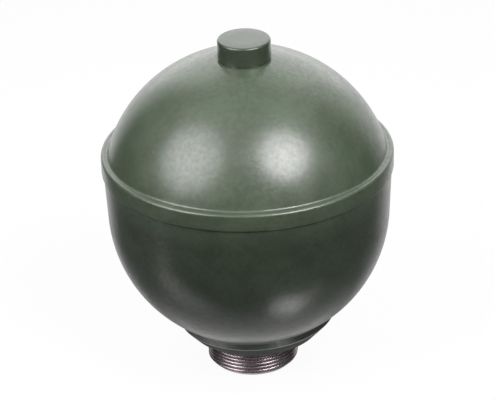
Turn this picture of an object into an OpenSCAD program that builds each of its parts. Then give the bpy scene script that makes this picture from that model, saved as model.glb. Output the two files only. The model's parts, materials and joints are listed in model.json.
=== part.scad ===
// Diaphragm accumulator: a welded steel sphere, charged with gas above a rubber
// diaphragm, that screws into a hydraulic circuit by the threaded neck below it.
// Millimetres. Z is the axis of the sphere, and z = 0 is the end of the neck.

/* [Neck] */
// Major radius of the neck's thread
thread_r = 17.5; // [15:0.5:20]
// Length of the neck from its end to the collar's seal face
neck_len = 13.7; // [12:0.1:18]
// Lead-in chamfer at the end of the thread
lead_chamfer = 2.1; // [1:0.1:2.5]
// Width of the thread relief under the collar, with its runout
relief_w = 3.5; // [2:0.1:4.5]
// Depth of the thread relief
relief_depth = 1.3; // [1:0.1:1.8]
// Radius of the flat seal face under the collar
seal_face_r = 24; // [22:0.1:26]
// Largest radius of the collar
collar_r = 28.3; // [27:0.1:31]
// Height of the collar's cone, from the seal face to its rim
collar_cone_h = 4.7; // [3:0.1:5.5]
// Height of the collar, from the seal face to the bowl
collar_h = 7.5; // [7:0.1:10]
// Rounding of the collar's rim
collar_edge_r = 0.7; // [0.3:0.1:1.2]
// Rounding of the seal face's edge
seal_edge_r = 0.5; // [0.2:0.1:1]

/* [Port] */
// Radius of the seal recess in the neck's end
recess_r = 13.85; // [13.2:0.05:14.3]
// Depth of the seal recess's straight wall
recess_depth = 2.6; // [1.5:0.1:3.5]
// Radius of the port's bore
bore_r = 12.25; // [11:0.05:12.6]
// Radius of the hole that lets fluid into the sphere
fluid_hole_r = 3; // [2.5:0.1:3.5]
// Metal left between the drill point and the inside of the sphere
port_floor = 1.4; // [1:0.1:2.5]
// Radius of the neck's spigot in the bowl's hole
spigot_r = 19; // [17:0.1:21]
// How far the spigot stands into the bowl
spigot_proud = 2.5; // [2:0.1:4]

/* [Shells] */
// Outside radius of the lower shell's bowl
bowl_r = 53.5; // [50:0.1:58]
// Thickness of both shells
wall = 3.2; // [2.8:0.1:4]
// Height of the lower shell's wall, from the bowl's centre to the band
wall_rise = 16.9; // [14:0.1:22]
// How far the wall opens out between the bowl and the band
wall_flare = 0.9; // [0.4:0.1:1.6]
// Height of the dome above the band
dome_rise = 38.1; // [34:0.1:44]

/* [Band] */
// How far the band stands out from the wall below it
band_step = 0.7; // [0.4:0.1:1.5]
// Height of the band
band_h = 6.7; // [6:0.1:10]
// Thickness of the band around the upper shell's skirt
lip_t = 2.45; // [2:0.05:2.6]
// Rounding of the band's upper edge
band_edge_r = 1.1; // [0.5:0.1:1.1]
// Rounding of the band's lower edge
band_foot_r = 0.5; // [0.2:0.1:0.7]
// Fillet of the weld at the foot of the dome
weld_fillet = 1; // [0.5:0.1:1.2]
// Depth of the upper shell's skirt inside the band
lap_depth = 6.2; // [5:0.1:7]

/* [Gas plug] */
// Radius of the plug's head
plug_r = 9.95; // [8:0.05:11]
// Height of the plug's head
plug_h = 7.5; // [5:0.1:10]
// Rounding of the head's upper edge
plug_edge_r = 0.9; // [0.2:0.1:1]
// Radius of the plug's shank
shank_r = 5; // [4:0.1:6]
// Margin of the flat around the plug's head
spot_margin = 1; // [0.5:0.1:2]
// Thickness of the sealing washer under the head
washer_t = 0.3; // [0.2:0.1:1]
// How far the washer's edge sits inside the head's
washer_inset = 0.6; // [0.3:0.1:1.5]
// Depth of the threaded boss inside the dome
boss_depth = 4.5; // [3:0.1:8]

/* [Diaphragm] */
// Thickness of the rubber
rubber_t = 2; // [1.5:0.1:3]
// Height of the clamped bead
bead_h = 3.85; // [3:0.05:5]
// Depth of the bead's pocket in the lower shell
pocket_step = 0.9; // [0.6:0.1:1.4]
// Thickness of the retaining ring
ring_t = 2; // [1.5:0.1:3]
// Thickness of the lip that hooks the ring over the rubber
ring_lip_t = 1.1; // [0.8:0.1:1.6]
// Height of that lip
ring_lip_h = 3.4; // [2:0.1:4]
// Radius of the button that closes the fluid hole
button_r = 8; // [6:0.1:11]
// Thickness of the button
button_t = 1.6; // [1.2:0.1:2.5]
// Radius of the button's stem
stem_r = 2.5; // [2:0.1:3.5]
// Radius of the rivet head above the rubber
rivet_r = 5; // [4:0.1:6]
// Thickness of the rivet head
rivet_t = 1.5; // [1:0.1:2.5]

/* [Clearances] */
// Gap between metal pieces that seat on each other
seat_gap = 0.05; // [0.02:0.01:0.1]
// Gap around the rubber and the moving button
rubber_gap = 0.3; // [0.2:0.05:0.5]

/* [Hidden] */
$fn = 128;

PAINT = [0.24, 0.31, 0.24];
STEEL = [0.36, 0.33, 0.34];
BRIGHT = [0.70, 0.70, 0.72];
SOFT_METAL = [0.78, 0.78, 0.76];
RUBBER = [0.09, 0.09, 0.10];

// Longer than any section, for half planes
far = 400;
// Overlap that keeps joined sections in one solid
lap = 0.02;
// How far a tangent arc crosses the line it runs into
bite = 0.002;
// Small edge breaks of turned pieces
edge_break = 0.4;
DRILL_HALF_ANGLE = 59;

// Bowl, placed so that its outside meets the collar's rim
bowl_z = neck_len + collar_h + sqrt(pow(bowl_r, 2) - pow(collar_r, 2));
bowl_in_r = bowl_r - wall;

// Wall, a straight flare that leaves the bowl along its tangent
wall_top_r = bowl_r + wall_flare;
crease_z = bowl_z + wall_rise;
flare_angle = acos(bowl_r / norm([wall_top_r, wall_rise])) - atan2(wall_rise, wall_top_r);
wall_foot = [0, bowl_z] + (bowl_r - bite) * [cos(flare_angle), -sin(flare_angle)];

// Band and the skirt that it holds
band_r = wall_top_r + band_step;
ledge_z = crease_z + band_h;
mouth_r = band_r - lip_t;
skirt_r = mouth_r - seat_gap;
step_z = ledge_z - lap_depth;
bevel_w = lip_t - band_edge_r - edge_break;

// Dome, a sphere through the top of the skirt
dome_r = (pow(skirt_r, 2) + pow(dome_rise, 2)) / (2 * dome_rise);
dome_z = ledge_z + dome_rise - dome_r;
dome_in_r = dome_r - wall;
skirt_in_r = sqrt(pow(dome_in_r, 2) - pow(ledge_z - dome_z, 2));

// Centre of the weld's fillet, which just bites into the dome and the ledge,
// and a point of its root inside the dome's wall
weld_z = ledge_z + weld_fillet - lap;
weld_r = sqrt(pow(dome_r + weld_fillet - lap, 2) - pow(weld_z - dome_z, 2));
weld_root = [0, dome_z] + [weld_r, weld_z - dome_z] * (dome_r - weld_fillet) / (dome_r + weld_fillet);

// Gas plug
spot_r = plug_r + spot_margin;
spot_z = dome_z + sqrt(pow(dome_r, 2) - pow(spot_r, 2));
washer_z = spot_z + seat_gap;
head_z = washer_z + washer_t + seat_gap;
boss_r = shank_r + wall;
boss_z = dome_z + dome_in_r - boss_depth;

// Neck
spigot_z = bowl_z - sqrt(pow(bowl_in_r, 2) - pow(spigot_r, 2)) + spigot_proud;
drill_h = (bore_r - fluid_hole_r) / tan(DRILL_HALF_ANGLE);
bore_end_z = spigot_z - port_floor - drill_h;

// Clamped rim of the diaphragm, from the ring down
pocket_r = bowl_in_r + pocket_step;
ring_bottom_z = step_z - ring_t;
bead_top_z = ring_bottom_z - seat_gap;
pocket_z = bead_top_z - bead_h - seat_gap;
rubber_out_r = bowl_in_r - rubber_gap;
rubber_in_r = rubber_out_r - rubber_t;

// Flat bottom of the diaphragm and its button
rubber_bottom_z = spigot_z + rubber_gap;
button_top_z = rubber_bottom_z + button_t;
hub_top_z = button_top_z + rubber_gap + rubber_t;
hub_r = button_r + rubber_gap + rubber_t;

function xy(p) = [p[0], p[1]];
function unit(v) = v / norm(v);
function corner_r(p) = len(p) > 2 ? p[2] : 0;
function back(o, i) = unit(xy(o[(i + len(o) - 1) % len(o)]) - xy(o[i]));
function ahead(o, i) = unit(xy(o[(i + 1) % len(o)]) - xy(o[i]));
function half_angle(o, i) = acos(back(o, i) * ahead(o, i)) / 2;
function trim(o, i) = corner_r(o[i]) / tan(half_angle(o, i));
function arc_centre(o, i) =
    xy(o[i]) + unit(back(o, i) + ahead(o, i)) * corner_r(o[i]) / sin(half_angle(o, i));
function convex(o, i) = cross(-back(o, i), ahead(o, i)) > 0;
function trimmed(o, i) = corner_r(o[i]) == 0
    ? [xy(o[i])]
    : [xy(o[i]) + back(o, i) * trim(o, i), xy(o[i]) + ahead(o, i) * trim(o, i)];

// A section drawn counter-clockwise; a corner [x, y, r] is rounded by a true arc
module rounded(outline) {
    corners = [for (i = [0 : len(outline) - 1]) if (corner_r(outline[i]) > 0) i];
    difference() {
        union() {
            polygon([for (i = [0 : len(outline) - 1]) each trimmed(outline, i)]);
            for (i = corners)
                if (convex(outline, i))
                    translate(arc_centre(outline, i)) circle(corner_r(outline[i]) + bite);
        }
        for (i = corners)
            if (!convex(outline, i))
                translate(arc_centre(outline, i)) circle(corner_r(outline[i]) + bite);
    }
}

// A rectangle from the axis out to radius r, between two heights
module disc(r, z0, z1) translate([0, z0]) square([r, z1 - z0]);

// A rectangle between two radii and two heights
module ring(r0, r1, z0, z1) translate([r0, z0]) square([r1 - r0, z1 - z0]);

// A circle on the axis, kept between two heights and outside the axis
module ball(r, z, z0, z1)
    intersection() {
        translate([0, z]) circle(r);
        disc(far, z0, z1);
    }

module turned() rotate_extrude() children();

module lower_shell_outside() {
    ball(bowl_r, bowl_z, 0, bowl_z);
    polygon([[0, wall_foot[1]], wall_foot, [wall_top_r, crease_z], [0, crease_z]]);
    rounded([
        [0, crease_z - lap],
        [wall_top_r - lap, crease_z - lap],
        [wall_top_r - lap, crease_z],
        [band_r, crease_z, band_foot_r],
        [band_r, ledge_z, band_edge_r],
        [0, ledge_z],
    ]);
}

module lower_shell_inside() {
    ball(bowl_in_r, bowl_z, 0, bowl_z);
    disc(bowl_in_r, bowl_z, pocket_z);
    disc(pocket_r, pocket_z, step_z);
    disc(mouth_r, step_z, far);
    polygon([
        [0, ledge_z - bevel_w],
        [mouth_r, ledge_z - bevel_w],
        [mouth_r + bevel_w, ledge_z],
        [mouth_r + bevel_w, ledge_z + lap],
        [0, ledge_z + lap],
    ]);
    disc(spigot_r + seat_gap, 0, bowl_z);
}

module lower_shell()
    color(PAINT)
    turned()
    difference() {
        lower_shell_outside();
        lower_shell_inside();
    }

// The weld's concave fillet, between the foot of the dome and the band's ledge
module weld_foot()
    difference() {
        polygon([
            [weld_root[0], ledge_z - lap],
            [weld_r, ledge_z - lap],
            [weld_r, weld_z],
            weld_root,
        ]);
        translate([weld_r, weld_z]) circle(weld_fillet);
    }

module upper_shell_outside() {
    ball(dome_r, dome_z, ledge_z - lap, spot_z);
    disc(skirt_r, step_z + seat_gap, ledge_z);
    polygon([
        [0, ledge_z - bevel_w],
        [skirt_r, ledge_z - bevel_w],
        [skirt_r + bevel_w, ledge_z],
        [0, ledge_z],
    ]);
    weld_foot();
}

module upper_shell_inside() {
    difference() {
        intersection() {
            ball(dome_in_r, dome_z, step_z, far);
            disc(skirt_in_r, step_z, far);
        }
        disc(boss_r, boss_z, far);
    }
    disc(shank_r + seat_gap, boss_z - lap, far);
}

module upper_shell()
    color(PAINT)
    turned()
    difference() {
        upper_shell_outside();
        upper_shell_inside();
    }

module collar_and_thread()
    rounded([
        [0, 0],
        [thread_r - lead_chamfer, 0],
        [thread_r, lead_chamfer],
        [thread_r, neck_len - relief_w],
        [thread_r - relief_depth, neck_len - relief_w + relief_depth],
        [thread_r - relief_depth, neck_len],
        [seal_face_r, neck_len, seal_edge_r],
        [collar_r, neck_len + collar_cone_h, collar_edge_r],
        [collar_r, bowl_z],
        [0, bowl_z],
    ]);

module port() {
    polygon([
        [0, -lap],
        [recess_r + edge_break + lap, -lap],
        [recess_r, edge_break],
        [recess_r, recess_depth],
        [bore_r, recess_depth + recess_r - bore_r],
        [bore_r, bore_end_z],
        [fluid_hole_r, bore_end_z + drill_h],
        [fluid_hole_r, spigot_z + lap],
        [0, spigot_z + lap],
    ]);
}

module neck_fitting()
    color(STEEL)
    turned()
    difference() {
        union() {
            difference() {
                collar_and_thread();
                ball(bowl_r + seat_gap, bowl_z, 0, far);
            }
            rounded([
                [0, neck_len],
                [spigot_r, neck_len],
                [spigot_r, spigot_z, 2 * edge_break],
                [0, spigot_z],
            ]);
        }
        port();
    }

module filler_plug()
    color(PAINT)
    turned()
    rounded([
        [0, boss_z],
        [shank_r - 2 * edge_break, boss_z],
        [shank_r, boss_z + 2 * edge_break],
        [shank_r, head_z],
        [plug_r - edge_break, head_z],
        [plug_r, head_z + edge_break],
        [plug_r, head_z + plug_h, plug_edge_r],
        [0, head_z + plug_h],
    ]);

module plug_seal()
    color(SOFT_METAL)
    turned()
    ring(shank_r + seat_gap, plug_r - washer_inset, washer_z, washer_z + washer_t);

module diaphragm_outside() {
    ball(rubber_out_r, bowl_z, rubber_bottom_z, bowl_z);
    disc(rubber_out_r, bowl_z, bead_top_z);
    rounded([
        [0, pocket_z + seat_gap],
        [pocket_r - seat_gap, pocket_z + seat_gap, 2 * edge_break],
        [pocket_r - seat_gap, bead_top_z, 2 * edge_break],
        [0, bead_top_z],
    ]);
}

module diaphragm_inside() {
    difference() {
        union() {
            ball(rubber_in_r, bowl_z, rubber_bottom_z + rubber_t, bowl_z);
            disc(rubber_in_r, bowl_z, far);
        }
        rounded([
            [0, rubber_bottom_z],
            [hub_r + rubber_t, rubber_bottom_z],
            [hub_r, hub_top_z, edge_break],
            [0, hub_top_z],
        ]);
    }
    disc(button_r + rubber_gap, 0, button_top_z + rubber_gap);
    disc(stem_r + rubber_gap, 0, far);
}

module diaphragm()
    color(RUBBER)
    turned()
    difference() {
        diaphragm_outside();
        diaphragm_inside();
    }

module retaining_ring() {
    lip_out_r = rubber_in_r - seat_gap;
    color(BRIGHT)
    turned()
    rounded([
        [lip_out_r - ring_lip_t, ring_bottom_z - ring_lip_h, edge_break],
        [lip_out_r, ring_bottom_z - ring_lip_h, edge_break],
        [lip_out_r, ring_bottom_z],
        [pocket_r - seat_gap, ring_bottom_z],
        [pocket_r - seat_gap, step_z],
        [lip_out_r - ring_lip_t, step_z, 2 * edge_break],
    ]);
}

module shutoff_button()
    color(BRIGHT)
    turned()
    union() {
        rounded([
            [0, rubber_bottom_z],
            [button_r, rubber_bottom_z, edge_break],
            [button_r, button_top_z, edge_break],
            [0, button_top_z],
        ]);
        disc(stem_r, rubber_bottom_z, hub_top_z + rubber_gap + lap);
        rounded([
            [0, hub_top_z + rubber_gap],
            [rivet_r, hub_top_z + rubber_gap],
            [rivet_r, hub_top_z + rubber_gap + rivet_t, rivet_t / 3],
            [0, hub_top_z + rubber_gap + rivet_t],
        ]);
    }

lower_shell();
upper_shell();
neck_fitting();
filler_plug();
plug_seal();
diaphragm();
retaining_ring();
shutoff_button();
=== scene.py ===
import json
import math

import bmesh
import bpy
from mathutils import Matrix, Vector

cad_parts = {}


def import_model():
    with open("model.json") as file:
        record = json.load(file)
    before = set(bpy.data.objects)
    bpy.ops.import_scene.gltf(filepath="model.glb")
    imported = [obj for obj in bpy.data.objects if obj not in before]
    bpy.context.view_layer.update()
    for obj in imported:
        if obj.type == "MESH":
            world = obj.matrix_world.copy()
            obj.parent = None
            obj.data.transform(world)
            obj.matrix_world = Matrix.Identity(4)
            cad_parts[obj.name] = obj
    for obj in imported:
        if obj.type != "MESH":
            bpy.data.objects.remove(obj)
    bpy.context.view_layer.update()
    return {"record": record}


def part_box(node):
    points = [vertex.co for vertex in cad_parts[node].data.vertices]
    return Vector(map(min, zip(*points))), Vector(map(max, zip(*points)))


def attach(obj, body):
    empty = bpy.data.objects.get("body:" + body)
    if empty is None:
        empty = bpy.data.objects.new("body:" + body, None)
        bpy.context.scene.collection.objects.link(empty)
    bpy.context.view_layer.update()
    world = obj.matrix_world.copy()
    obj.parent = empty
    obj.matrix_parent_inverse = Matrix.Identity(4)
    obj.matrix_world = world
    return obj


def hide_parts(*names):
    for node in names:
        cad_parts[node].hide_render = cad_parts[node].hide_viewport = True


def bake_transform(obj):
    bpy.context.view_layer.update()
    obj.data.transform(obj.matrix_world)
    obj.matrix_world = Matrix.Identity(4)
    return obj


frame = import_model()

# Sizes in millimetres, in the part's own frame: z is zero at the end of the neck
MM = 0.001
MOUNTS = {mount["name"]: mount for mount in frame["record"]["mounts"]}


def node_radius(node):
    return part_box(node)[1].x / MM


def node_bottom(node):
    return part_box(node)[0].z / MM


def node_top(node):
    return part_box(node)[1].z / MM


WALL = 3.2
SEAT_GAP = 0.05
RUBBER_GAP = 0.3
EDGE_BREAK = 0.4

# Neck and collar
THREAD_R = MOUNTS["neck_thread"]["dims"]["r_mm"]
THREAD_PITCH = 1.5
THREAD_DEPTH = 0.6134 * THREAD_PITCH
CREST_EDGE_R = 0.12
CREST_WEAR_R = 0.90
THREAD_LEAD = 2.1
THREAD_END = THREAD_LEAD + MOUNTS["neck_thread"]["dims"]["length_mm"]
SEAL_FACE_Z = MOUNTS["seal_face"]["pos_m"][2] / MM
SEAL_FACE_R = 24.0
SEAL_EDGE_R = 0.5
RELIEF_R = THREAD_R - 1.3
RELIEF_Z = THREAD_END + THREAD_R - RELIEF_R
COLLAR_R = node_radius("neck_fitting")
COLLAR_RIM_Z = SEAL_FACE_Z + 4.7
COLLAR_TOP_Z = SEAL_FACE_Z + 7.5
COLLAR_EDGE_R = 0.7
COLLAR_WELD_R = 0.9
COLLAR_SWELL = 3.8
FACE_SWELL = 0.45
SWELL_FALL = 1.2
SWELL_TOP_Z = COLLAR_TOP_Z + 4.0

# Port
RECESS_R = MOUNTS["seal_recess"]["dims"]["r_mm"]
RECESS_DEPTH = 2.6
BORE_R = MOUNTS["port_bore"]["dims"]["r_mm"]
FLUID_HOLE_R = 3.0
PORT_FLOOR = 1.4
SPIGOT_R = 19.0
SPIGOT_TOP = node_top("neck_fitting")
DRILL_HALF_ANGLE = 59.0

# Shells and band
BOWL_R = 53.5
BOWL_IN_R = BOWL_R - WALL
BOWL_Z = COLLAR_TOP_Z + math.sqrt(BOWL_R ** 2 - COLLAR_R ** 2)
BAND_R = node_radius("lower_shell")
BAND_STEP = 0.7
BAND_H = 6.7
BAND_EDGE_R = 1.1
BAND_FOOT_R = 0.5
LIP_T = 2.45
LAP_DEPTH = 6.2
WELD_FILLET_R = 1.0
WALL_TOP_R = BAND_R - BAND_STEP
LEDGE_Z = node_top("lower_shell")
CREASE_Z = LEDGE_Z - BAND_H
STEP_Z = LEDGE_Z - LAP_DEPTH
MOUTH_R = BAND_R - LIP_T
SKIRT_R = MOUTH_R - SEAT_GAP
BEVEL_W = LIP_T - BAND_EDGE_R - EDGE_BREAK
DOME_RISE = 38.1
DOME_R = (SKIRT_R ** 2 + DOME_RISE ** 2) / (2 * DOME_RISE)
DOME_Z = LEDGE_Z + DOME_RISE - DOME_R
DOME_IN_R = DOME_R - WALL

# Gas plug
PLUG_R = node_radius("filler_plug")
PLUG_TOP = node_top("filler_plug")
PLUG_EDGE_R = 0.9
SHANK_R = 5.0
SPOT_Z = node_top("upper_shell")
SPOT_R = PLUG_R + 1.0
WASHER_R = node_radius("plug_seal")
WASHER_BOTTOM = node_bottom("plug_seal")
WASHER_TOP = node_top("plug_seal")
HEAD_Z = WASHER_TOP + SEAT_GAP
BOSS_R = SHANK_R + WALL
BOSS_Z = node_bottom("filler_plug")

# Diaphragm with its ring and button
RUBBER_T = 2.0
RUBBER_OUT_R = BOWL_IN_R - RUBBER_GAP
RUBBER_IN_R = RUBBER_OUT_R - RUBBER_T
RUBBER_Z = node_bottom("diaphragm")
POCKET_R = BOWL_IN_R + 0.9
BEAD_R = node_radius("diaphragm")
BEAD_TOP = node_top("diaphragm")
BEAD_H = 3.85
BEAD_EDGE_R = 0.8
RING_LIP_T = 1.1
RING_BOTTOM = node_bottom("retaining_ring")
RING_FLANGE_Z = BEAD_TOP + SEAT_GAP
BUTTON_R = node_radius("shutoff_button")
BUTTON_TOP = RUBBER_Z + 1.6
STEM_R = 2.5
RIVET_R = 5.0
RIVET_TOP = node_top("shutoff_button")
HUB_TOP = BUTTON_TOP + RUBBER_GAP + RUBBER_T
HUB_R = BUTTON_R + RUBBER_GAP + RUBBER_T

# How finely the round pieces are turned
TURN_STEPS = 192
SMALL_TURN_STEPS = 96
BALL_STEPS = 72
INSIDE_STEPS = 36
RUBBER_STEPS = 40
SMOOTH_ANGLE = math.radians(28)
MERGE = 0.0006 * MM


# Node trees

def feed(tree, socket, value):
    """Links an input to the socket that is given, or sets it to a value."""
    if isinstance(value, bpy.types.NodeSocket):
        tree.links.new(value, socket)
    else:
        socket.default_value = value


def add_node(tree, kind, inputs=None, **settings):
    """A node with its settings, and its inputs set to values or linked to sockets."""
    node = tree.nodes.new(kind)
    for name, value in settings.items():
        setattr(node, name, value)
    for name, value in (inputs or {}).items():
        feed(tree, node.inputs[name], value)
    return node


def math_node(tree, operation, *values, clamp=False):
    node = add_node(tree, "ShaderNodeMath", operation=operation, use_clamp=clamp)
    for socket, value in zip(node.inputs, values):
        feed(tree, socket, value)
    return node.outputs[0]


def mix_colour(tree, share, first, second, blend="MIX"):
    inputs = {0: share, 6: first, 7: second}
    node = add_node(tree, "ShaderNodeMix", inputs, data_type="RGBA", blend_type=blend)
    return node.outputs[2]


def spread(tree, value, low, high, to_low=0.0, to_high=1.0):
    """The value stretched from one range to another, without leaving it."""
    node = add_node(tree, "ShaderNodeMapRange", {
        "Value": value, "From Min": low, "From Max": high, "To Min": to_low, "To Max": to_high})
    return node.outputs[0]


def place(tree):
    """The point of the surface in metres, in the frame that every piece shares."""
    return add_node(tree, "ShaderNodeTexCoord").outputs["Object"]


def noise(tree, point, scale, detail=2.0, roughness=0.5):
    node = add_node(tree, "ShaderNodeTexNoise", {
        "Vector": point, "Scale": scale, "Detail": detail, "Roughness": roughness})
    return node.outputs[0]


def from_axis(tree, point):
    """Distance of the surface from the axis of the sphere, in metres, and its height."""
    parts = add_node(tree, "ShaderNodeSeparateXYZ", {"Vector": point})
    flat = add_node(tree, "ShaderNodeCombineXYZ", {"X": parts.outputs[0], "Y": parts.outputs[1]})
    length = add_node(tree, "ShaderNodeVectorMath", {0: flat.outputs[0]}, operation="LENGTH")
    return length.outputs["Value"], parts.outputs[2]


def new_group(name, inputs, outputs):
    group = bpy.data.node_groups.new(name, "ShaderNodeTree")
    for socket, value in inputs.items():
        made = group.interface.new_socket(socket, in_out="INPUT", socket_type="NodeSocketFloat")
        made.default_value = value
    for socket in outputs:
        group.interface.new_socket(socket, in_out="OUTPUT", socket_type="NodeSocketFloat")
    entry = group.nodes.new("NodeGroupInput")
    result = group.nodes.new("NodeGroupOutput")
    return group, entry.outputs, result.inputs


def use_group(tree, group, inputs=None):
    return add_node(tree, "ShaderNodeGroup", inputs, node_tree=group).outputs


def sprayed_skin_group():
    """Orange peel and fine grain of a sprayed or moulded skin, and slow patches over it."""
    group, given, result = new_group(
        "sprayed_skin", {"Peel": 600.0, "Grain": 2300.0, "Patches": 95.0}, ("Height", "Patch"))
    point = place(group)
    peel = noise(group, point, given["Peel"], 2.0)
    grain = noise(group, point, given["Grain"], 1.0)
    height = math_node(group, "MULTIPLY_ADD", grain, 0.45, peel)
    patch = noise(group, point, given["Patches"], 3.0)
    group.links.new(height, result["Height"])
    group.links.new(spread(group, patch, 0.32, 0.68), result["Patch"])
    return group


def specks_group():
    """Sparse round nibs of dust: a share of the cells of a Voronoi pattern has one."""
    group, given, result = new_group(
        "specks", {"Cells": 160.0, "Share": 0.1, "Radius": 0.05}, ("Mask",))
    cells = add_node(group, "ShaderNodeTexVoronoi", {"Vector": place(group), "Scale": given["Cells"]})
    lot = add_node(group, "ShaderNodeSeparateColor", {"Color": cells.outputs["Color"]})
    chosen = math_node(group, "LESS_THAN", lot.outputs[0], given["Share"])
    size = math_node(group, "MULTIPLY", given["Radius"], lot.outputs[1])
    inside = math_node(group, "LESS_THAN", cells.outputs["Distance"], size)
    group.links.new(math_node(group, "MULTIPLY", chosen, inside), result["Mask"])
    return group


def turning_marks_group():
    """Fine rings that a lathe tool leaves, on faces and on round walls alike."""
    group, given, result = new_group(
        "turning_marks", {"Rings": 9000.0, "Stains": 220.0}, ("Height", "Stain"))
    point = place(group)
    radius, height = from_axis(group, point)
    along = add_node(group, "ShaderNodeCombineXYZ", {"X": radius, "Y": height})
    rings = noise(group, along.outputs[0], given["Rings"], 2.0)
    stain = noise(group, point, given["Stains"], 4.0, 0.6)
    group.links.new(rings, result["Height"])
    group.links.new(spread(group, stain, 0.3, 0.7), result["Stain"])
    return group


SPRAYED_SKIN = sprayed_skin_group()
SPECKS = specks_group()
TURNING_MARKS = turning_marks_group()


def new_material(name):
    material = bpy.data.materials.new(name)
    material.use_nodes = True
    tree = material.node_tree
    return material, tree, tree.nodes["Principled BSDF"]


def set_bump(tree, shader, height, distance, strength=1.0):
    bump = add_node(tree, "ShaderNodeBump", {
        "Height": height, "Distance": distance, "Strength": strength})
    tree.links.new(bump.outputs[0], shader.inputs["Normal"])


PAINT_LIGHT = (0.070, 0.100, 0.060, 1.0)
PAINT_DARK = (0.053, 0.077, 0.046, 1.0)
DEEPER = (0.50, 0.51, 0.49, 1.0)
# Lighter paint for wear and a painted highlight on the collar's rim edge.
WORN_PAINT_AND_HIGHLIGHT = (0.20, 0.21, 0.19, 1.0)
# Darkening for the painted shade on the collar's underside and on its right side.
COLLAR_SHADE = (0.58, 0.58, 0.58, 1.0)
DUST_PALE = (0.16, 0.17, 0.15, 1.0)
DUST_DARK = (0.008, 0.009, 0.008, 1.0)
RUBBER_LIGHT = (0.020, 0.020, 0.021, 1.0)
RUBBER_DARK = (0.010, 0.010, 0.011, 1.0)

# Heights over which the green turns from deeper below the band to lighter above, the share of the lighter
# green that the plug's head keeps under its painted shade, and how far across the collar the painted
# shade on its right side reaches
LIGHTER_FROM = CREASE_Z - 9.0
LIGHTER_FULL = CREASE_Z + 2.5
PLUG_SHADED_SHARE = 0.25
RIGHT_SHADE_FROM = 10.0
RIGHT_SHADE_FULL = 16.0

# Orange peel: heights in the pattern's own unit, the share that the plug keeps, the depth in metres
PEEL_LOW = 0.60
PEEL_MEAN = 0.725
PEEL_HIGH = 0.82
PLUG_PEEL = 0.3
PEEL_DEPTH = 0.00008
GLOSS_LOW = 0.69
GLOSS_HIGH = 0.95
GRAIN_LOW = 0.55
GRAIN_HIGH = 0.90
GRAIN_TONE = 0.45


def at_plug(tree, below, above):
    """One value below the foot of the plug's head and another above it, with a short blend between."""
    half_blend = 0.1
    _, height = from_axis(tree, place(tree))
    return spread(tree, height, (HEAD_Z - half_blend) * MM, (HEAD_Z + half_blend) * MM, below, above)


def paint_colour(tree, skin):
    """Green of the paint, deeper below the band and deeper on the plug's head as painted shade, mottled,
    with a few nibs of dust.
    """
    _, height = from_axis(tree, place(tree))
    up_the_band = spread(tree, height, LIGHTER_FROM * MM, LIGHTER_FULL * MM)
    # On the plug's head the lighter green is cut down to a share: painted shade.
    lighter_share = math_node(tree, "MULTIPLY", up_the_band, at_plug(tree, 1.0, PLUG_SHADED_SHARE))
    grain = spread(tree, skin["Height"], GRAIN_LOW, GRAIN_HIGH, -GRAIN_TONE, GRAIN_TONE)
    tone = math_node(tree, "ADD", skin["Patch"], grain, clamp=True)
    green = mix_colour(tree, tone, PAINT_DARK, PAINT_LIGHT)
    deep = mix_colour(tree, 1.0, green, DEEPER, blend="MULTIPLY")
    whole = mix_colour(tree, lighter_share, deep, green)
    pale = use_group(tree, SPECKS, {"Cells": 170.0, "Share": 0.16, "Radius": 0.06})["Mask"]
    dark = use_group(tree, SPECKS, {"Cells": 130.0, "Share": 0.10, "Radius": 0.05})["Mask"]
    dusted = mix_colour(tree, pale, whole, DUST_PALE)
    return mix_colour(tree, dark, dusted, DUST_DARK)


def green_paint(name, wear_and_highlight=0.0, shade_right_side=False):
    """Sprayed gloss paint, smoother on the plug. It may carry worn paint with a painted highlight, or
    painted shade on one side, where it is also matt.
    """
    material, tree, shader = new_material(name)
    skin = use_group(tree, SPRAYED_SKIN)
    colour = paint_colour(tree, skin)
    # Worn paint and a painted highlight: the colour turns lighter.
    if wear_and_highlight:
        colour = mix_colour(tree, wear_and_highlight, colour, WORN_PAINT_AND_HIGHLIGHT)
    swing = math_node(tree, "SUBTRACT", skin["Height"], PEEL_MEAN)
    peel = math_node(tree, "MULTIPLY_ADD", swing, at_plug(tree, 1.0, PLUG_PEEL), PEEL_MEAN)
    gloss = spread(tree, peel, PEEL_LOW, PEEL_HIGH, GLOSS_LOW, GLOSS_HIGH)
    if shade_right_side:
        # Painted shade: the collar's right side is darkened, and matt there.
        across = add_node(tree, "ShaderNodeSeparateXYZ", {"Vector": place(tree)}).outputs[0]
        right_shade = spread(tree, across, RIGHT_SHADE_FROM * MM, RIGHT_SHADE_FULL * MM)
        shaded_green = mix_colour(tree, 1.0, colour, COLLAR_SHADE, blend="MULTIPLY")
        colour = mix_colour(tree, right_shade, colour, shaded_green)
        gloss = math_node(tree, "MULTIPLY", gloss, math_node(tree, "SUBTRACT", 1.0, right_shade))
    tree.links.new(colour, shader.inputs["Base Color"])
    tree.links.new(spread(tree, skin["Patch"], 0, 1, 0.40, 0.48), shader.inputs["Roughness"])
    tree.links.new(gloss, shader.inputs["Coat Weight"])
    shader.inputs["Coat Roughness"].default_value = 0.24
    shader.inputs["Coat IOR"].default_value = 1.56
    set_bump(tree, shader, peel, PEEL_DEPTH)
    return material


def shaded_underside_paint():
    """Paint under the collar: the same green, matt, darkened with painted shade."""
    material, tree, shader = new_material("shaded_underside_paint")
    skin = use_group(tree, SPRAYED_SKIN)
    shaded_green = mix_colour(tree, 1.0, paint_colour(tree, skin), COLLAR_SHADE, blend="MULTIPLY")
    tree.links.new(shaded_green, shader.inputs["Base Color"])
    tree.links.new(spread(tree, skin["Patch"], 0, 1, 0.55, 0.65), shader.inputs["Roughness"])
    shader.inputs["Specular IOR Level"].default_value = 0.3
    set_bump(tree, shader, skin["Height"], 0.00006)
    return material


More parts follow.
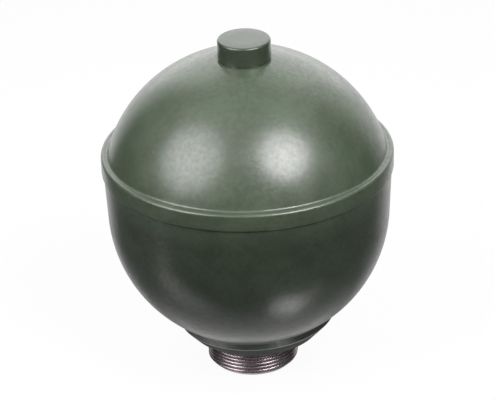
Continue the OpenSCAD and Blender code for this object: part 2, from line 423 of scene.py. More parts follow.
def turned_steel(name, clean, stained, roughness, rings=9000.0, stains=220.0, mark_depth=0.00001):
    """Steel as it leaves the lathe: fine rings, and a stain that comes and goes."""
    material, tree, shader = new_material(name)
    marks = use_group(tree, TURNING_MARKS, {"Rings": rings, "Stains": stains})
    tree.links.new(mix_colour(tree, marks["Stain"], clean, stained), shader.inputs["Base Color"])
    tree.links.new(spread(tree, marks["Stain"], 0, 1, roughness - 0.05, roughness + 0.08),
                   shader.inputs["Roughness"])
    shader.inputs["Metallic"].default_value = 1.0
    set_bump(tree, shader, marks["Height"], mark_depth)
    return material


BARE_BLUE = (0.075, 0.080, 0.095, 1.0)
BARE_BROWN = (0.085, 0.060, 0.045, 1.0)
SCRATCHED = (0.45, 0.45, 0.43, 1.0)
PAINT_LINE_R = 22.4
PAINT_LINE_WANDER = 1.6
PAINT_LINE_SOFT = 0.05
SCRAPED_W = 0.5
BROWN_END = RELIEF_R + 1.5
BLUE_FROM = RELIEF_R + 4.5


def bare_seal_face():
    """The collar's face: dark bare steel, brown by the neck, up to a ragged line of paint."""
    material, tree, shader = new_material("bare_seal_face")
    point = place(tree)
    radius, _ = from_axis(tree, point)
    ragged = noise(tree, point, 420.0, 4.0, 0.65)
    edge = math_node(tree, "MULTIPLY_ADD", ragged, PAINT_LINE_WANDER * MM, radius)
    line = PAINT_LINE_R + PAINT_LINE_WANDER / 2
    bare_end = line - PAINT_LINE_SOFT
    painted = spread(tree, edge, bare_end * MM, (line + PAINT_LINE_SOFT) * MM)
    near_line = spread(tree, edge, (bare_end - SCRAPED_W) * MM, bare_end * MM)
    flecks = spread(tree, noise(tree, point, 1500.0, 3.0), 0.55, 0.62)
    scraped = math_node(tree, "MULTIPLY", near_line, flecks)
    blued = spread(tree, edge, BROWN_END * MM, BLUE_FROM * MM)
    bare = mix_colour(tree, blued, BARE_BROWN, BARE_BLUE)
    scratched = mix_colour(tree, scraped, bare, SCRATCHED)
    skin = use_group(tree, SPRAYED_SKIN)
    tree.links.new(mix_colour(tree, painted, scratched, paint_colour(tree, skin)),
                   shader.inputs["Base Color"])
    tree.links.new(spread(tree, painted, 0, 1, 1, 0), shader.inputs["Metallic"])
    tree.links.new(spread(tree, painted, 0, 1, 0.42, 0.3), shader.inputs["Roughness"])
    set_bump(tree, shader, math_node(tree, "MULTIPLY_ADD", painted, 4.0, skin["Height"]), 0.00002)
    return material


def moulded_rubber():
    material, tree, shader = new_material("moulded_rubber")
    skin = use_group(tree, SPRAYED_SKIN, {"Peel": 900.0, "Grain": 4000.0, "Patches": 60.0})
    colour = mix_colour(tree, skin["Patch"], RUBBER_DARK, RUBBER_LIGHT)
    tree.links.new(colour, shader.inputs["Base Color"])
    tree.links.new(spread(tree, skin["Patch"], 0, 1, 0.55, 0.7), shader.inputs["Roughness"])
    set_bump(tree, shader, skin["Height"], 0.00003)
    return material


PAINT = green_paint("green_paint")
# Worn paint with a painted highlight, on the rounded rim edge of the collar.
RIM_WEAR_AND_HIGHLIGHT_PAINT = green_paint("rim_wear_and_highlight_paint", wear_and_highlight=0.65)
# Collar paint with painted shade on its right side.
COLLAR_PAINT = green_paint("collar_paint", shade_right_side=True)
SHADED_UNDERSIDE_PAINT = shaded_underside_paint()
SEAL_FACE = bare_seal_face()
THREAD_STEEL = turned_steel("thread_steel", (0.42, 0.375, 0.39, 1), (0.25, 0.215, 0.225, 1), 0.25)
PORT_STEEL = turned_steel("port_steel", (0.66, 0.62, 0.62, 1), (0.48, 0.44, 0.43, 1), 0.26)
DRILL_STEEL = turned_steel("drill_steel", (0.50, 0.42, 0.37, 1), (0.30, 0.22, 0.16, 1), 0.30, 5000.0)
DRAWN_STEEL = turned_steel("drawn_steel", (0.17, 0.17, 0.18, 1), (0.11, 0.11, 0.12, 1), 0.45, 2500.0)
SOFT_METAL = turned_steel("soft_seal_metal", (0.62, 0.62, 0.61, 1), (0.45, 0.45, 0.44, 1), 0.40)
PLATED_STEEL = turned_steel("plated_steel", (0.62, 0.61, 0.56, 1), (0.50, 0.48, 0.42, 1), 0.28)
RUBBER = moulded_rubber()


# Modelling

def arc(centre, radius, first, last, steps):
    """Points on an arc of an outline, angles in degrees from the outward direction."""
    angles = [math.radians(first + (last - first) * i / steps) for i in range(steps + 1)]
    return [(centre[0] + radius * math.cos(a), centre[1] + radius * math.sin(a)) for a in angles]


def draw_outline(name, outline):
    """A chain of edges in the XZ plane, drawn from one vertex that is extruded point by point."""
    bpy.ops.object.select_all(action="DESELECT")
    bpy.ops.mesh.primitive_plane_add(size=MM, location=(0, 0, 0))
    piece = bpy.context.object
    piece.name = name
    piece.data.name = name
    bpy.ops.object.mode_set(mode="EDIT")
    bpy.ops.mesh.select_mode(type="VERT")
    bpy.ops.mesh.merge(type="CENTER")
    bpy.ops.transform.translate(value=(outline[0][0] * MM, 0, outline[0][1] * MM))
    for (r0, z0), (r1, z1) in zip(outline, outline[1:]):
        step = ((r1 - r0) * MM, 0, (z1 - z0) * MM)
        bpy.ops.mesh.extrude_vertices_move(TRANSFORM_OT_translate={"value": step})
    return piece


def close_mesh():
    """Merges the seam and the poles of the mesh in edit mode, and turns its faces outwards."""
    bpy.ops.mesh.select_all(action="SELECT")
    bpy.ops.mesh.remove_doubles(threshold=MERGE)
    bpy.ops.mesh.normals_make_consistent(inside=False)
    bpy.ops.object.mode_set(mode="OBJECT")
    bpy.ops.object.shade_smooth_by_angle(angle=SMOOTH_ANGLE)


def turn(name, outline, steps=TURN_STEPS):
    """A piece turned about the axis, from an outline that closes on itself or ends on the axis."""
    on_axis = outline[0][0] == 0 and outline[-1][0] == 0
    piece = draw_outline(name, outline if on_axis else outline + outline[:1])
    bpy.ops.mesh.select_all(action="SELECT")
    bpy.ops.mesh.spin(steps=steps, angle=math.tau, center=(0, 0, 0), axis=(0, 0, 1))
    close_mesh()
    return piece


def dress(piece, materials, choose=None):
    """Gives a piece its materials; choose says which one a face has, by its radius, height and normal."""
    for material in materials:
        piece.data.materials.append(material)
    if choose is None:
        return
    slots = {material: slot for slot, material in enumerate(materials)}
    for face in piece.data.polygons:
        radius = math.hypot(face.center.x, face.center.y) / MM
        face.material_index = slots[choose(radius, face.center.z / MM, face.normal)]


def take_place(piece, node, body):
    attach(piece, body)
    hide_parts(node)


def on_ball(radius, across):
    """Degrees below the equator at which a ball has the given radius across."""
    return -math.degrees(math.acos(across / radius))


# Shells

def lower_shell():
    """Deep-drawn cup: the bowl, the flared wall and the band that holds the dome's skirt."""
    hole_r = SPIGOT_R + SEAT_GAP
    rise = CREASE_Z - BOWL_Z
    reach = math.hypot(WALL_TOP_R, rise)
    flare = math.degrees(math.acos(BOWL_R / reach) - math.atan2(rise, WALL_TOP_R))
    foot = (BAND_R - BAND_FOOT_R, CREASE_Z + BAND_FOOT_R)
    shoulder = (BAND_R - BAND_EDGE_R, LEDGE_Z - BAND_EDGE_R)
    pocket_z = BEAD_TOP - BEAD_H - SEAT_GAP
    outline = [
        *arc((0, BOWL_Z), BOWL_R, on_ball(BOWL_R, hole_r), -flare, BALL_STEPS),
        (WALL_TOP_R, CREASE_Z),
        *arc(foot, BAND_FOOT_R, -90, 0, 6),
        *arc(shoulder, BAND_EDGE_R, 0, 90, 10),
        (MOUTH_R + BEVEL_W, LEDGE_Z),
        (MOUTH_R, LEDGE_Z - BEVEL_W),
        (MOUTH_R, STEP_Z),
        (POCKET_R, STEP_Z),
        (POCKET_R, pocket_z),
        (BOWL_IN_R, pocket_z),
        *arc((0, BOWL_Z), BOWL_IN_R, 0, on_ball(BOWL_IN_R, hole_r), INSIDE_STEPS),
    ]
    piece = turn("lower_shell_cup", outline)

    def finish(radius, height, normal):
        outside = math.hypot(radius, height - BOWL_Z) > BOWL_R - WALL / 2
        return PAINT if outside and (height > STEP_Z or radius > hole_r + 0.1) else DRAWN_STEEL

    dress(piece, (PAINT, DRAWN_STEEL), finish)
    take_place(piece, "lower_shell", "vessel")


def upper_shell():
    """Deep-drawn dome with the weld's fillet at its foot and a skirt inside the band."""
    weld_z = LEDGE_Z + WELD_FILLET_R
    weld_r = math.sqrt((DOME_R + WELD_FILLET_R) ** 2 - (weld_z - DOME_Z) ** 2)
    foot_angle = math.degrees(math.atan2(weld_z - DOME_Z, weld_r))
    top_angle = math.degrees(math.acos(SPOT_R / DOME_R))
    skirt_in_r = math.sqrt(DOME_IN_R ** 2 - (LEDGE_Z - DOME_Z) ** 2)
    inside_foot = math.degrees(math.asin((LEDGE_Z - DOME_Z) / DOME_IN_R))
    boss_angle = math.degrees(math.acos(BOSS_R / DOME_IN_R))
    hole_r = SHANK_R + SEAT_GAP
    outline = [
        (hole_r, SPOT_Z),
        (SPOT_R - 0.1, SPOT_Z),
        *arc((0, DOME_Z), DOME_R, top_angle, foot_angle, BALL_STEPS),
        *arc((weld_r, weld_z), WELD_FILLET_R, 180 + foot_angle, 270, 10)[1:],
        (SKIRT_R + BEVEL_W, LEDGE_Z),
        (SKIRT_R, LEDGE_Z - BEVEL_W),
        (SKIRT_R, STEP_Z + SEAT_GAP),
        (skirt_in_r, STEP_Z + SEAT_GAP),
        *arc((0, DOME_Z), DOME_IN_R, inside_foot, boss_angle, INSIDE_STEPS),
        (BOSS_R, BOSS_Z),
        (hole_r, BOSS_Z),
    ]
    piece = turn("upper_shell_dome", outline)

    def finish(radius, height, normal):
        outside = math.hypot(radius, height - DOME_Z) > DOME_R - WALL / 2
        shown = outside and height > LEDGE_Z - EDGE_BREAK and radius > hole_r + 0.1
        return PAINT if shown else DRAWN_STEEL

    dress(piece, (PAINT, DRAWN_STEEL), finish)
    take_place(piece, "upper_shell", "vessel")


# Neck

def thread_flank(wear_r):
    """From the edge of a crest, worn round with a radius, down a flank to the root."""
    points = [(THREAD_R, 0.0)]
    for radius, first, last in ((CREST_EDGE_R, 0, 20), (wear_r, 20, 45), (CREST_EDGE_R, 45, 60)):
        bend = arc((0, 0), radius, first, last, 3)
        start_r, start_z = points[-1]
        points += [(start_r + r - bend[0][0], start_z + z - bend[0][1]) for r, z in bend[1:]]
    worn_r, worn_z = points[-1]
    drop = worn_r - THREAD_R + THREAD_DEPTH
    flank_steps = 4
    for i in range(1, flank_steps + 1):
        down = drop * i / flank_steps
        points.append((worn_r - down, worn_z + down * math.tan(math.radians(30))))
    return points


def thread_outline(start_z):
    """One pitch of the thread: a crest's worn upper side, the root, the next crest's underside."""
    under = [(r, THREAD_PITCH - z) for r, z in reversed(thread_flank(CREST_EDGE_R))]
    return [(r, start_z + z) for r, z in thread_flank(CREST_WEAR_R) + under]


def slice_at(height, keep="BOTH"):
    bpy.ops.mesh.select_all(action="SELECT")
    bpy.ops.mesh.bisect(plane_co=(0, 0, height * MM), plane_no=(0, 0, 1), threshold=MERGE,
                        clear_inner=keep == "ABOVE", clear_outer=keep == "BELOW")


def blank_radius(height):
    """Radius of the turned blank that the thread is cut into: lead chamfer, land, runout, relief."""
    lead = THREAD_R - THREAD_LEAD + height
    runout = max(RELIEF_R, THREAD_R - (height - THREAD_END))
    return min(THREAD_R, lead, runout)


def cut_thread(name):
    """The neck's thread as one helix, cut off at both ends and held inside its blank."""
    turns = math.ceil(RELIEF_Z / THREAD_PITCH) + 3
    piece = draw_outline(name, thread_outline(-2 * THREAD_PITCH))
    bpy.ops.object.mode_set(mode="OBJECT")
    bpy.ops.object.modifier_add(type="SCREW")
    helix = piece.modifiers[-1]
    helix.axis = "Z"
    helix.angle = math.tau
    helix.screw_offset = THREAD_PITCH * MM
    helix.iterations = turns
    helix.steps = TURN_STEPS
    helix.render_steps = TURN_STEPS
    bpy.ops.object.modifier_apply(modifier=helix.name)
    bpy.ops.object.mode_set(mode="EDIT")
    bpy.ops.mesh.select_all(action="SELECT")
    bpy.ops.mesh.remove_doubles(threshold=MERGE)
    slice_at(0, "ABOVE")
    slice_at(RELIEF_Z, "BELOW")
    slice_at(THREAD_LEAD)
    slice_at(THREAD_END)
    mesh = bmesh.from_edit_mesh(piece.data)
    for vertex in mesh.verts:
        radius = vertex.co.xy.length
        vertex.co.xy *= min(1.0, blank_radius(vertex.co.z / MM) * MM / radius)
    bmesh.update_edit_mesh(piece.data)
    return piece


def select_open_ring(piece, height):
    """Selects the open edges of the mesh that lie at one height."""
    near = 0.005
    bpy.ops.mesh.select_all(action="DESELECT")
    bpy.ops.mesh.select_mode(type="EDGE")
    mesh = bmesh.from_edit_mesh(piece.data)
    for edge in mesh.edges:
        level = all(abs(vertex.co.z / MM - height) < near for vertex in edge.verts)
        edge.select_set(edge.is_boundary and level)
    bmesh.update_edit_mesh(piece.data)


def pull_ring(outline):
    """Extrudes the selected ring from point to point of an outline that starts on the ring."""
    for (r0, z0), (r1, z1) in zip(outline, outline[1:]):
        bpy.ops.mesh.extrude_edges_move(TRANSFORM_OT_translate={"value": (0, 0, (z1 - z0) * MM)})
        bpy.ops.transform.resize(value=(r1 / r0, r1 / r0, 1), center_override=(0, 0, 0))


def port_outline():
    """From the lead chamfer inwards: end face, recess, 45 degree seat, bore and drill point."""
    drill_h = (BORE_R - FLUID_HOLE_R) / math.tan(math.radians(DRILL_HALF_ANGLE))
    bore_end = SPIGOT_TOP - PORT_FLOOR - drill_h
    seat_z = RECESS_DEPTH + RECESS_R - BORE_R
    return [
        (THREAD_R - THREAD_LEAD, 0),
        (RECESS_R + EDGE_BREAK, 0),
        (RECESS_R, EDGE_BREAK),
        (RECESS_R, RECESS_DEPTH),
        (BORE_R, seat_z),
        (BORE_R, bore_end),
        (FLUID_HOLE_R, bore_end + drill_h),
    ]


def tangent_arc(corner, before, after, radius, steps):
    """Rounds a corner of an outline between the points before and after it."""
    at = Vector(corner)
    back = (Vector(before) - at).normalized()
    ahead = (Vector(after) - at).normalized()
    half = back.angle(ahead) / 2
    centre = at + (back + ahead).normalized() * radius / math.sin(half)
    first = at + back * radius / math.tan(half) - centre
    last = at + ahead * radius / math.tan(half) - centre
    turned = first.angle_signed(last)
    made = []
    for i in range(steps + 1):
        spoke = first.copy()
        spoke.rotate(Matrix.Rotation(-turned * i / steps, 2))
        made.append(tuple(centre + spoke))
    return made


def collar_outline():
    """From the relief outwards: seal face, cone, rim, weld on the bowl, then the spigot inside it."""
    face = (SEAL_FACE_R, SEAL_FACE_Z)
    rim = (COLLAR_R, COLLAR_RIM_Z)
    weld_r = COLLAR_R + COLLAR_WELD_R
    weld_z = BOWL_Z - math.sqrt((BOWL_R + COLLAR_WELD_R) ** 2 - weld_r ** 2)
    weld_end = 180 - math.degrees(math.atan2(BOWL_Z - weld_z, weld_r))
    seat_r = BOWL_R + SEAT_GAP
    seat_from = on_ball(seat_r, weld_r * BOWL_R / (BOWL_R + COLLAR_WELD_R))
    edge = 2 * EDGE_BREAK
    return [
        (RELIEF_R, RELIEF_Z),
        (RELIEF_R, SEAL_FACE_Z),
        *tangent_arc(face, (RELIEF_R, SEAL_FACE_Z), rim, SEAL_EDGE_R, 5),
        *tangent_arc(rim, face, (COLLAR_R, BOWL_Z), COLLAR_EDGE_R, 6),
        *arc((weld_r, weld_z), COLLAR_WELD_R, 180, weld_end, 8),
        *arc((0, BOWL_Z), seat_r, seat_from, on_ball(seat_r, SPIGOT_R), 8)[1:],
        *arc((SPIGOT_R - edge, SPIGOT_TOP - edge), edge, 0, 90, 4),
        (FLUID_HOLE_R, SPIGOT_TOP),
    ]


def swell_collar(piece):
    """The collar and its weld stand fuller on one side; the weld follows the bowl there."""
    inner_r = SEAL_FACE_R - 2 * SEAL_EDGE_R
    for vertex in piece.data.vertices:
        radius = vertex.co.xy.length / MM
        height = vertex.co.z / MM
        on_collar = SEAL_FACE_Z - 0.1 <= height <= SWELL_TOP_Z
        if radius < inner_r or not on_collar:
            continue
        side = max(0.0, vertex.co.x / MM / radius)
        share = max(0.0, min(1.0, (height - SEAL_FACE_Z) / (COLLAR_RIM_Z - SEAL_FACE_Z)))
        fuller = radius + COLLAR_SWELL * (FACE_SWELL + (1 - FACE_SWELL) * share) * side ** SWELL_FALL
        rise = math.sqrt(BOWL_R ** 2 - radius ** 2) - math.sqrt(BOWL_R ** 2 - fuller ** 2)
        vertex.co.xy *= fuller / radius
        vertex.co.z += rise * share * MM


def neck():
    """Turned collar and threaded neck, with the port bored up through it."""
    piece = cut_thread("neck_with_thread")
    port = port_outline()
    select_open_ring(piece, 0)
    pull_ring(port)
    select_open_ring(piece, RELIEF_Z)
    pull_ring(collar_outline())
    bpy.ops.mesh.select_all(action="DESELECT")
    mesh = bmesh.from_edit_mesh(piece.data)
    for edge in mesh.edges:
        edge.select_set(edge.is_boundary)
    bmesh.update_edit_mesh(piece.data)
    bpy.ops.mesh.bridge_edge_loops()
    close_mesh()
    bore_end = port[-2][1]

    def finish(radius, height, normal):
        if height > SEAL_FACE_Z - 0.01 and radius > RELIEF_R + 0.01:
            inside_bowl = math.hypot(radius, height - BOWL_Z) < BOWL_R - 0.2
            if inside_bowl:
                return DRAWN_STEEL
            flat = normal.z < -0.99
            # The rounded rim edge: worn paint with a painted highlight.
            rounded = -0.64 < normal.z < -0.02 and height < COLLAR_RIM_Z + EDGE_BREAK
            # The cone under the collar takes painted shade.
            cone = normal.z < -0.6 and height < COLLAR_RIM_Z
            if flat:
                return SEAL_FACE
            if rounded:
                return RIM_WEAR_AND_HIGHLIGHT_PAINT
            return SHADED_UNDERSIDE_PAINT if cone else COLLAR_PAINT
        if radius < BORE_R - 0.05:
            return DRAWN_STEEL if height > SPIGOT_TOP - 0.01 else DRILL_STEEL
        if radius < THREAD_R - THREAD_LEAD and height < bore_end + 0.1:
            return PORT_STEEL
        return THREAD_STEEL

    finishes = (COLLAR_PAINT, SEAL_FACE, PORT_STEEL, DRILL_STEEL, DRAWN_STEEL, THREAD_STEEL, SHADED_UNDERSIDE_PAINT,
                RIM_WEAR_AND_HIGHLIGHT_PAINT)
    dress(piece, finishes, finish)
    swell_collar(piece)
    take_place(piece, "neck_fitting", "vessel")


# Gas plug

def plug():
    """Round head with a small rounded edge, and the shank that fills the gas hole."""
    edge = (PLUG_R - PLUG_EDGE_R, PLUG_TOP - PLUG_EDGE_R)
    chamfer = 2 * EDGE_BREAK
    outline = [
        (0, BOSS_Z),
        (SHANK_R - chamfer, BOSS_Z),
        (SHANK_R, BOSS_Z + chamfer),
        (SHANK_R, HEAD_Z),
        (PLUG_R - EDGE_BREAK, HEAD_Z),
        *arc((PLUG_R - EDGE_BREAK, HEAD_Z + EDGE_BREAK), EDGE_BREAK, -90, 0, 4)[1:],
        *arc(edge, PLUG_EDGE_R, 0, 90, 6),
        (PLUG_R * 0.5, PLUG_TOP),
        (0, PLUG_TOP),
    ]
    piece = turn("gas_plug_head", outline)

    def finish(radius, height, normal):
        return PAINT if height > HEAD_Z - 0.01 else DRAWN_STEEL

    dress(piece, (PAINT, DRAWN_STEEL), finish)
    take_place(piece, "filler_plug", "vessel")


def washer():
    """Soft washer that is squeezed between the plug's head and the dome."""
    swell = 0.1
    inner_r = SHANK_R + SEAT_GAP
    outline = [
        (inner_r, WASHER_BOTTOM),
        (WASHER_R - swell, WASHER_BOTTOM),
        (WASHER_R, WASHER_BOTTOM + swell),
        (WASHER_R, WASHER_TOP - swell),
        (WASHER_R - swell, WASHER_TOP),
        (inner_r, WASHER_TOP),
    ]
    piece = turn("plug_washer", outline, SMALL_TURN_STEPS)
    dress(piece, (SOFT_METAL,))
    take_place(piece, "plug_seal", "vessel")


# Diaphragm, its ring and its button

def diaphragm():
    """Rubber cup with a clamped bead and a thick hub."""
    floor_z = RUBBER_Z + RUBBER_T
    out_end = math.degrees(math.asin((RUBBER_Z - BOWL_Z) / RUBBER_OUT_R))
    in_end = math.degrees(math.asin((floor_z - BOWL_Z) / RUBBER_IN_R))
    bead_low = BEAD_TOP - BEAD_H
    bead_in = BEAD_R - BEAD_EDGE_R
    slope = RUBBER_T / (HUB_TOP - RUBBER_Z)
    socket_r = BUTTON_R + RUBBER_GAP
    stem_hole_r = STEM_R + RUBBER_GAP
    outline = [
        (socket_r, RUBBER_Z),
        *arc((0, BOWL_Z), RUBBER_OUT_R, out_end, 0, RUBBER_STEPS),
        (RUBBER_OUT_R, bead_low),
        *arc((bead_in, bead_low + BEAD_EDGE_R), BEAD_EDGE_R, -90, 0, 5),
        *arc((bead_in, BEAD_TOP - BEAD_EDGE_R), BEAD_EDGE_R, 0, 90, 5),
        (RUBBER_IN_R, BEAD_TOP),
        *arc((0, BOWL_Z), RUBBER_IN_R, 0, in_end, RUBBER_STEPS),
        (HUB_R + slope * (HUB_TOP - floor_z), floor_z),
        *arc((HUB_R - EDGE_BREAK, HUB_TOP - EDGE_BREAK), EDGE_BREAK, 20, 90, 4),
        (stem_hole_r, HUB_TOP),
        (stem_hole_r, BUTTON_TOP + RUBBER_GAP),
        (socket_r, BUTTON_TOP + RUBBER_GAP),
    ]
    piece = turn("rubber_diaphragm", outline, SMALL_TURN_STEPS)
    dress(piece, (RUBBER,))
    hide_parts("diaphragm")
    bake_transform(piece)


def retaining_ring():
    """Steel ring that hooks over the diaphragm's bead."""
    lip_out_r = RUBBER_IN_R - SEAT_GAP
    lip_in_r = lip_out_r - RING_LIP_T
    top_edge = 2 * EDGE_BREAK
    outline = [
        *arc((lip_in_r + EDGE_BREAK, RING_BOTTOM + EDGE_BREAK), EDGE_BREAK, 180, 270, 4),
        *arc((lip_out_r - EDGE_BREAK, RING_BOTTOM + EDGE_BREAK), EDGE_BREAK, 270, 360, 4),
        (lip_out_r, RING_FLANGE_Z),
        (POCKET_R - SEAT_GAP, RING_FLANGE_Z),
        (POCKET_R - SEAT_GAP, STEP_Z),
        *arc((lip_in_r + top_edge, STEP_Z - top_edge), top_edge, 90, 180, 5),
    ]
    piece = turn("bead_retaining_ring", outline)
    dress(piece, (PLATED_STEEL,))
    take_place(piece, "retaining_ring", "vessel")


def button():
    """Disc that closes the fluid hole, with its stem and its riveted head above the rubber."""
    rivet_z = HUB_TOP + RUBBER_GAP
    crown = (RIVET_TOP - rivet_z) / 3
    low = RUBBER_Z + EDGE_BREAK
    high = BUTTON_TOP - EDGE_BREAK
    outline = [
        (0, RUBBER_Z),
        *arc((BUTTON_R - EDGE_BREAK, low), EDGE_BREAK, -90, 0, 4),
        *arc((BUTTON_R - EDGE_BREAK, high), EDGE_BREAK, 0, 90, 4),
        (STEM_R, BUTTON_TOP),
        (STEM_R, rivet_z),
        (RIVET_R, rivet_z),
        *arc((RIVET_R - crown, RIVET_TOP - crown), crown, 0, 90, 4),
        (0, RIVET_TOP),
    ]
    piece = turn("diaphragm_button", outline, SMALL_TURN_STEPS)
    dress(piece, (PLATED_STEEL,))
    take_place(piece, "shutoff_button", "button")


lower_shell()
upper_shell()
neck()
plug()
washer()
diaphragm()
retaining_ring()
button()


# Studio: a white sheet on a dark glossy table, a lit backdrop, softboxes in front, a dim lamp behind

TABLE_FRONT = -0.066
TABLE_SOFT = 0.010
TABLE_GREY = (0.06, 0.06, 0.06, 1.0)
GLOW_CENTRE = (0.006, 0.006, 0.0)
GLOW_INNER_R = 0.0165
GLOW_FULL_R = 0.0220
GLOW_END_R = 0.098
GLOW = 0.68
GLOW_FULL_Y = -0.008
GLARE_SPOT = (0.0316, -0.066, 0.0)
GLARE = 1.85
GLARE_FULL_R = 0.007
GLARE_END_R = 0.021
SHEET_NEAR = (0.28, 0.28, 0.28, 1.0)
SHEET_FAR = (0.55, 0.55, 0.55, 1.0)
SHEET_SOFT = 0.025
SHEET_FULL_Y = 0.06
SHEET_FAR_FROM = 0.11
SHEET_FAR_FULL = 0.20
SHEET_MIRROR_NEAR = 0.45
SHEET_MIRROR_FAR = 0.85
SHEET_OWN_LIGHT = 0.93
SHEET_MIDDLE = 0.010
SHEET_HALF_WIDTH = 0.095
SHEET_FLARE = 0.75
SHEET_FLARE_FROM = 0.040
FLOOR_SIZE = 6.0


def floor():
    """White as the camera sees it; to the object's reflections a dark glossy table with a pale glow."""
    bpy.ops.object.select_all(action="DESELECT")
    bpy.ops.mesh.primitive_plane_add(size=FLOOR_SIZE, location=(0, 0, 0))
    piece = bpy.context.object
    piece.name = "studio_floor"
    material = bpy.data.materials.new("white_sheet")
    material.use_nodes = True
    tree = material.node_tree
    tree.nodes.clear()
    point = place(tree)
    radius, _ = from_axis(tree, point)
    parts = add_node(tree, "ShaderNodeSeparateXYZ", {"Vector": point})
    across, along = parts.outputs[0], parts.outputs[1]
    on_table = spread(tree, along, TABLE_FRONT - TABLE_SOFT, TABLE_FRONT + TABLE_SOFT)
    off_centre = add_node(tree, "ShaderNodeVectorMath", {0: point, 1: GLOW_CENTRE}, operation="DISTANCE")
    # Painted shadow: the glow stops short of the neck and lies only in front of the object.
    rise = spread(tree, off_centre.outputs["Value"], GLOW_INNER_R, GLOW_FULL_R)
    fade = math_node(tree, "POWER", spread(tree, radius, GLOW_END_R, GLOW_FULL_R), 2.0)
    ring = math_node(tree, "MULTIPLY", rise, fade)
    in_front = math_node(tree, "MULTIPLY", on_table, spread(tree, along, 0.0, GLOW_FULL_Y))
    glow = math_node(tree, "MULTIPLY", math_node(tree, "MULTIPLY", ring, in_front), GLOW)
    # Painted reflection of the right softbox in the glossy table.
    off_spot = add_node(tree, "ShaderNodeVectorMath", {0: point, 1: GLARE_SPOT}, operation="DISTANCE")
    glare = spread(tree, off_spot.outputs["Value"], GLARE_END_R, GLARE_FULL_R, 0.0, GLARE)
    beside = math_node(tree, "ABSOLUTE", math_node(tree, "SUBTRACT", across, SHEET_MIDDLE))
    widest = (1.0 - SHEET_FLARE_FROM) * SHEET_FLARE
    flared = spread(tree, along, SHEET_FLARE_FROM, 1.0, 0.0, widest)
    past_edge = math_node(tree, "SUBTRACT", beside, flared)
    on_sheet = spread(tree, past_edge, SHEET_HALF_WIDTH + SHEET_SOFT, SHEET_HALF_WIDTH - SHEET_SOFT)
    behind = math_node(tree, "MULTIPLY", on_sheet, spread(tree, along, 0.0, SHEET_FULL_Y))
    far = spread(tree, along, SHEET_FAR_FROM, SHEET_FAR_FULL)
    pale = mix_colour(tree, far, SHEET_NEAR, SHEET_FAR)
    table = add_node(tree, "ShaderNodeBsdfPrincipled", {
        "Base Color": mix_colour(tree, behind, TABLE_GREY, pale),
        "Roughness": 0.08, "IOR": 2.3,
        "Specular IOR Level": math_node(tree, "MULTIPLY", on_table, 0.5),
        "Emission Color": (1, 1, 1, 1), "Emission Strength": math_node(tree, "ADD", glow, glare)})
    sheet = add_node(tree, "ShaderNodeBsdfDiffuse", {"Color": (0.85, 0.85, 0.85, 1)})
    white = add_node(tree, "ShaderNodeEmission", {"Color": (1, 1, 1, 1), "Strength": 1.0})
    seen = add_node(tree, "ShaderNodeMixShader", {
        0: SHEET_OWN_LIGHT, 1: sheet.outputs[0], 2: white.outputs[0]})
    rays = add_node(tree, "ShaderNodeLightPath").outputs
    straight = math_node(tree, "MAXIMUM", rays["Is Camera Ray"], rays["Is Transmission Ray"])
    whiteness = spread(tree, far, 0, 1, SHEET_MIRROR_NEAR, SHEET_MIRROR_FAR)
    share = math_node(tree, "MULTIPLY", behind, whiteness)
    mirrored = math_node(tree, "MULTIPLY", rays["Is Glossy Ray"], share)
    shown = math_node(tree, "MAXIMUM", straight, mirrored)
    above = add_node(tree, "ShaderNodeMixShader", {0: shown, 1: table.outputs[0], 2: seen.outputs[0]})
    below = add_node(tree, "ShaderNodeBsdfTransparent")
    backfacing = add_node(tree, "ShaderNodeNewGeometry").outputs["Backfacing"]
    port_hole = math_node(tree, "LESS_THAN", radius, (THREAD_R - THREAD_LEAD - 0.1) * MM)
    clear = math_node(tree, "MAXIMUM", backfacing, port_hole)
    both = add_node(tree, "ShaderNodeMixShader", {0: clear, 1: above.outputs[0], 2: below.outputs[0]})
    result = add_node(tree, "ShaderNodeOutputMaterial")
    tree.links.new(both.outputs[0], result.inputs["Surface"])
    piece.data.materials.append(material)


BACKDROP_TURN = math.radians(7)
BACKDROP_FULL = math.radians(38)
BACKDROP_END = math.radians(52)
BACKDROP_TOP = math.radians(66)
CEILING_FROM = math.radians(25)
CEILING_FULL = math.radians(50)
WALL_GREY = (0.02, 0.02, 0.02, 1.0)
CEILING_GREY = (0.35, 0.35, 0.35, 1.0)
UNDER_FLOOR_FROM = -0.05
UNDER_FLOOR_FULL = -0.25
DOME_TOP = Vector((0, 0, 0.14))
LAMP_COLOUR = (1.0, 0.965, 1.0)


def softbox(name, spot, towards, distance, size, radiance, shape="ELLIPSE", spread_deg=180.0):
    """An area lamp that a spot on the object sees in a direction, with the brightness of its middle."""
    width, height = size
    half = math.radians(spread_deg) / 2
    data = bpy.data.lights.new(name, "AREA")
    data.shape = shape
    data.size = width
    data.size_y = height
    data.spread = 2 * half
    area = width * height * (math.pi / 4 if shape == "ELLIPSE" else 1)
    data.color = LAMP_COLOUR
    data.energy = radiance * (1 - half / math.tan(half)) * math.pi * area
    lamp = bpy.data.objects.new(name, data)
    bpy.context.scene.collection.objects.link(lamp)
    lamp.location = Vector(spot) + Vector(towards).normalized() * distance
    lamp.rotation_euler = (lamp.location - DOME_TOP).to_track_quat("Z", "Y").to_euler()
    lamp.visible_camera = False


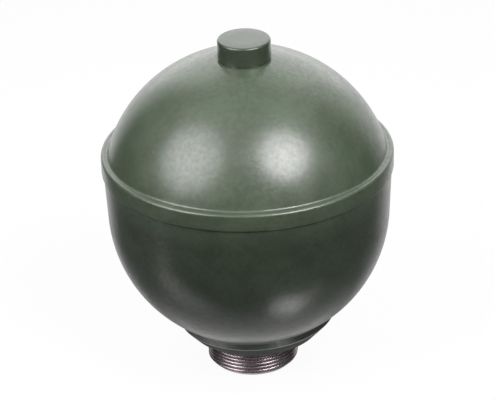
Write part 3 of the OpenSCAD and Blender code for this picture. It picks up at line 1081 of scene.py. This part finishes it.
def world():
    """A lit white backdrop behind the object, dim walls, and a paler ceiling."""
    scene = bpy.context.scene
    scene.world = bpy.data.worlds.new("studio")
    scene.world.use_nodes = True
    tree = scene.world.node_tree
    tree.nodes.clear()
    way = add_node(tree, "ShaderNodeTexCoord").outputs["Generated"]
    parts = add_node(tree, "ShaderNodeSeparateXYZ", {"Vector": way})
    turned = math_node(tree, "ARCTAN2", parts.outputs[0], parts.outputs[1])
    off_middle = math_node(tree, "ABSOLUTE", math_node(tree, "SUBTRACT", turned, BACKDROP_TURN))
    beside = spread(tree, off_middle, BACKDROP_END, BACKDROP_FULL)
    under_top = spread(tree, parts.outputs[2], math.sin(BACKDROP_TOP), math.sin(CEILING_FULL))
    backdrop = math_node(tree, "MULTIPLY", beside, under_top)
    overhead = spread(tree, parts.outputs[2], math.sin(CEILING_FROM), math.sin(CEILING_FULL))
    walls = mix_colour(tree, overhead, WALL_GREY, CEILING_GREY)
    under_floor = spread(tree, parts.outputs[2], UNDER_FLOOR_FROM, UNDER_FLOOR_FULL)
    lit = math_node(tree, "MAXIMUM", backdrop, under_floor)
    rays = add_node(tree, "ShaderNodeLightPath").outputs
    shown = math_node(tree, "MAXIMUM", rays["Is Camera Ray"], rays["Is Transmission Ray"])
    colour = mix_colour(tree, math_node(tree, "MAXIMUM", lit, shown), walls, (1, 1, 1, 1))
    light = add_node(tree, "ShaderNodeBackground", {"Color": colour, "Strength": 1.0})
    result = add_node(tree, "ShaderNodeOutputWorld")
    tree.links.new(light.outputs[0], result.inputs["Surface"])


floor()
world()
softbox("left_softbox", spot=(-0.021, -0.038, 0.105), towards=(-0.674, -0.371, 0.638), distance=0.6,
        size=(0.58, 0.60), radiance=6.9, spread_deg=84)
softbox("right_softbox", spot=(0.014, -0.040, 0.106), towards=(0.467, -0.503, 0.728), distance=0.6,
        size=(0.46, 0.42), radiance=13.4, spread_deg=74)
softbox("back_light", spot=(0, 0, 0.07), towards=(0.04, 0.90, 0.43), distance=1.0,
        size=(1.15, 0.9), radiance=0.65, shape="RECTANGLE")


# Camera, fitted to the outlines in the photograph

IMAGE_WIDTH = 495.0
SENSOR = 36.0
FOCAL_PX = 2625.6
CAMERA_DISTANCE = 1000.0
ELEVATION = math.radians(27.66)
ROLL = math.radians(1.78)
TARGET = Vector((0, 0, 62.0))
TARGET_RIGHT_PX = 1.7
TARGET_DOWN_PX = 14.1


def camera():
    """Looks down on the object, rolled a little, with the target off the middle of the picture."""
    data = bpy.data.cameras.new("camera")
    data.sensor_width = SENSOR
    data.lens = FOCAL_PX / IMAGE_WIDTH * SENSOR
    data.clip_start = 0.01
    piece = bpy.data.objects.new("camera", data)
    bpy.context.scene.collection.objects.link(piece)
    back = Vector((0, -math.cos(ELEVATION), math.sin(ELEVATION)))
    level_right = Vector((1, 0, 0))
    level_up = back.cross(level_right)
    right = level_right * math.cos(ROLL) - level_up * math.sin(ROLL)
    up = back.cross(right)
    per_px = CAMERA_DISTANCE / FOCAL_PX
    place_mm = TARGET + back * CAMERA_DISTANCE
    aim_mm = TARGET - right * TARGET_RIGHT_PX * per_px + up * TARGET_DOWN_PX * per_px
    back = (place_mm - aim_mm).normalized()
    right = up.cross(back).normalized()
    up = back.cross(right)
    turned = Matrix((right, up, back)).transposed().to_4x4()
    piece.matrix_world = Matrix.Translation(place_mm * MM) @ turned
    bpy.context.scene.camera = piece


camera()
bpy.context.scene.view_settings.view_transform = "Standard"
